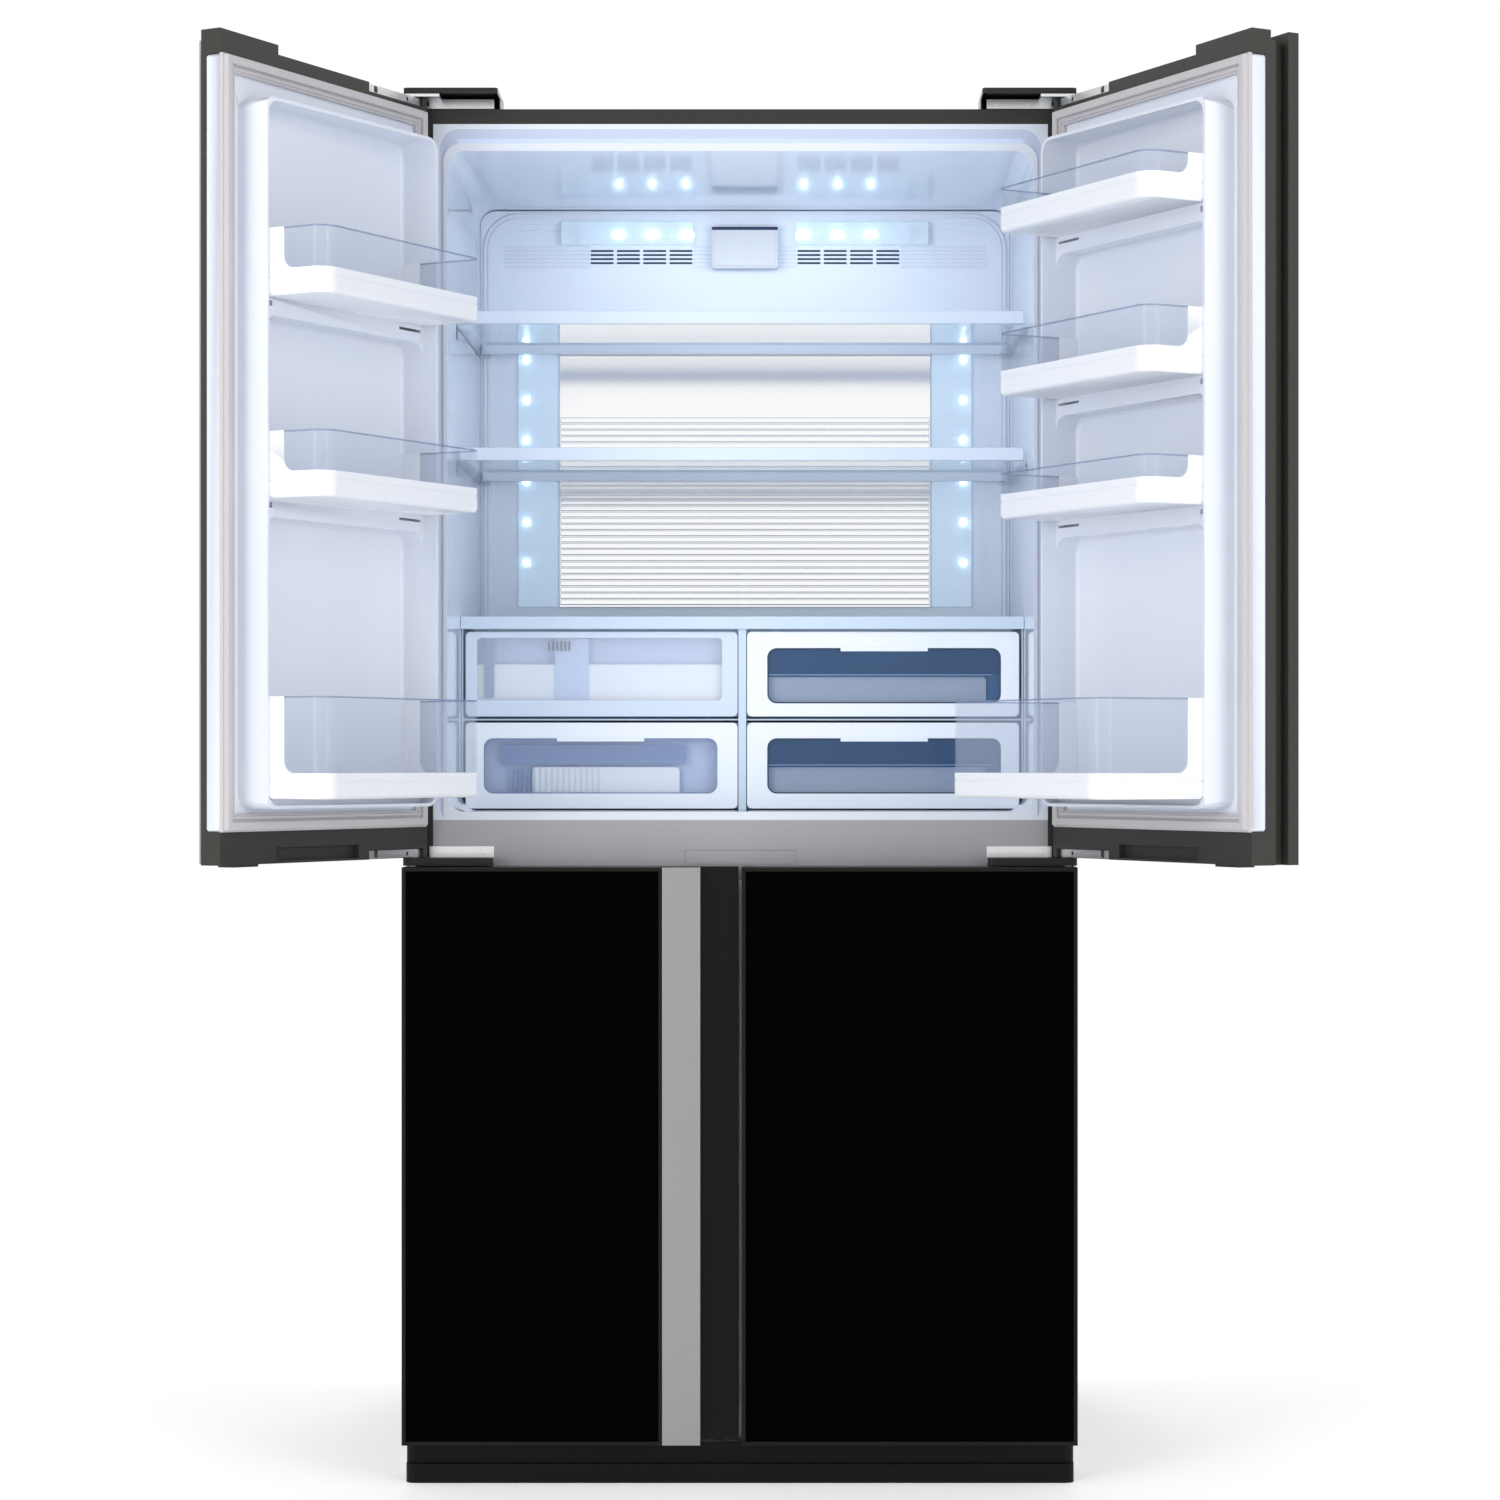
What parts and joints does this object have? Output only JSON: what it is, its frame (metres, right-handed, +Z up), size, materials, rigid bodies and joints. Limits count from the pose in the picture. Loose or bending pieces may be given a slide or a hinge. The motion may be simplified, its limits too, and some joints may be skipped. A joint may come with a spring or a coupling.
{
  "type": "refrigerator",
  "caption": "Free-standing refrigerator with wide-open upper doors, glass shelves, crispers and door bins above closed freezer doors with black glass fronts.",
  "frame": {"origin": "floor level, on the centre line, below the front plane of the cabinet where the door gaskets seat", "axes": "+X to the right seen from the front, +Y to the rear, +Z up"},
  "size_m": [1.3584, 1.1431, 1.85],
  "materials": {
    "case_steel": "satin grey paint",
    "zinc_sheet": "galvanised sheet",
    "foam": "foam",
    "liner_white": "gloss",
    "frame_grey": "satin metallic",
    "black_plastic": "satin",
    "door_frame": "satin",
    "black_glass": "gloss",
    "strip_aluminium": "brushed",
    "gasket_grey": "satin",
    "bin_white": "gloss",
    "clear_plastic": "gloss",
    "light_diffuser": "gloss",
    "shelf_glass": "gloss",
    "shelf_trim": "gloss",
    "mirror_sheet": "polished",
    "hinge_steel": "satin",
    "silver_plastic": "satin",
    "board": "matte",
    "coil_aluminium": "satin",
    "compressor_black": "gloss",
    "grey_plastic": "matte",
    "tyre_grey": "matte"
  },
  "bodies": {
    "cabinet": {"base_frame": "zinc_sheet", "cabinet_foam": "foam", "centre_frame": "frame_grey", "circuit_boards": "board", "compressor": "compressor_black", "condenser": "coil_aluminium", "cooling_panel": "mirror_sheet", "crisper_frame": "silver_plastic", "defrost_heater": "coil_aluminium", "drip_tray": "grey_plastic", "duct_panel": "liner_white", "evaporator": "coil_aluminium", "freezer_drawers": "clear_plastic", "freezer_liner": "liner_white", "freezer_panel": "liner_white", "fridge_liner": "liner_white", "hinge_brackets": "hinge_steel", "hinge_covers": "black_plastic", "ionizer_box": "silver_plastic", "light_covers": "light_diffuser", "machine_cover": "zinc_sheet", "outer_case": "case_steel", "plinth": "black_plastic", "rear_panel": "zinc_sheet", "shelf_brackets": "clear_plastic", "shelf_panes": "shelf_glass", "shelf_trims": "shelf_trim"},
    "upper_left_door": {"upper_left_glass": "black_glass", "upper_left_gasket": "gasket_grey", "upper_left_handle_strip": "strip_aluminium", "upper_left_liner": "liner_white", "upper_left_shell": "door_frame", "left_bins": "bin_white", "left_bin_guards": "clear_plastic"},
    "upper_right_door": {"upper_right_glass": "black_glass", "upper_right_gasket": "gasket_grey", "upper_right_liner": "liner_white", "upper_right_shell": "door_frame", "right_bins": "bin_white", "right_bin_guards": "clear_plastic", "egg_tray": "clear_plastic"},
    "lower_left_door": {"lower_left_glass": "black_glass", "lower_left_gasket": "gasket_grey", "lower_left_handle_strip": "strip_aluminium", "lower_left_liner": "liner_white", "lower_left_shell": "door_frame"},
    "lower_right_door": {"lower_right_glass": "black_glass", "lower_right_gasket": "gasket_grey", "lower_right_liner": "liner_white", "lower_right_shell": "door_frame"},
    "crisper_lower_left_body": {"crisper_lower_left": "clear_plastic"},
    "crisper_lower_right_body": {"crisper_lower_right": "clear_plastic"},
    "crisper_upper_left_body": {"crisper_upper_left": "clear_plastic"},
    "crisper_upper_right_body": {"crisper_upper_right": "clear_plastic"},
    "evaporator_fan_body": {"evaporator_fan": "grey_plastic"},
    "condenser_fan_body": {"condenser_fan": "grey_plastic"},
    "roller_left_body": {"roller_left": "tyre_grey"},
    "roller_right_body": {"roller_right": "tyre_grey"},
    "foot_left_body": {"foot_left": "grey_plastic"},
    "foot_right_body": {"foot_right": "grey_plastic"}
  },
  "joints": [
    {"name": "upper_left_door_hinge", "type": "hinge", "parent": "cabinet", "child": "upper_left_door", "pos_m": [-0.4354, -0.0279, 0.828], "axis": [0, 0, -1], "range_deg": [-118.6, 16.4]},
    {"name": "upper_right_door_hinge", "type": "hinge", "parent": "cabinet", "child": "upper_right_door", "pos_m": [0.4354, -0.0279, 0.828], "axis": [0, 0, 1], "range_deg": [-118.6, 16.4]},
    {"name": "lower_left_door_hinge", "type": "hinge", "parent": "cabinet", "child": "lower_left_door", "pos_m": [-0.4354, -0.0279, 0.055], "axis": [0, 0, -1], "range_deg": [0, 135]},
    {"name": "lower_right_door_hinge", "type": "hinge", "parent": "cabinet", "child": "lower_right_door", "pos_m": [0.4354, -0.0279, 0.055], "axis": [0, 0, 1], "range_deg": [0, 135]},
    {"name": "crisper_lower_left_slide", "type": "slide", "parent": "cabinet", "child": "crisper_lower_left_body", "axis": [0, -1, 0], "range_m": [0, 0.24]},
    {"name": "crisper_lower_right_slide", "type": "slide", "parent": "cabinet", "child": "crisper_lower_right_body", "axis": [0, -1, 0], "range_m": [0, 0.24]},
    {"name": "crisper_upper_left_slide", "type": "slide", "parent": "cabinet", "child": "crisper_upper_left_body", "axis": [0, -1, 0], "range_m": [0, 0.24]},
    {"name": "crisper_upper_right_slide", "type": "slide", "parent": "cabinet", "child": "crisper_upper_right_body", "axis": [0, -1, 0], "range_m": [0, 0.24]},
    {"name": "evaporator_fan_spin", "type": "hinge", "parent": "cabinet", "child": "evaporator_fan_body", "pos_m": [0.209, 0.466, 0.69], "axis": [0, 1, 0], "continuous": true},
    {"name": "condenser_fan_spin", "type": "hinge", "parent": "cabinet", "child": "condenser_fan_body", "pos_m": [-0.075, 0.575, 0.15], "axis": [1, 0, 0], "continuous": true},
    {"name": "roller_left_spin", "type": "hinge", "parent": "cabinet", "child": "roller_left_body", "pos_m": [-0.4, 0.62, 0.018], "axis": [1, 0, 0], "continuous": true},
    {"name": "roller_right_spin", "type": "hinge", "parent": "cabinet", "child": "roller_right_body", "pos_m": [0.4, 0.62, 0.018], "axis": [1, 0, 0], "continuous": true},
    {"name": "foot_left_turn", "type": "hinge", "parent": "cabinet", "child": "foot_left_body", "pos_m": [-0.385, 0.035, 0], "axis": [0, 0, 1], "continuous": true},
    {"name": "foot_right_turn", "type": "hinge", "parent": "cabinet", "child": "foot_right_body", "pos_m": [0.385, 0.035, 0], "axis": [0, 0, 1], "continuous": true}
  ]
}
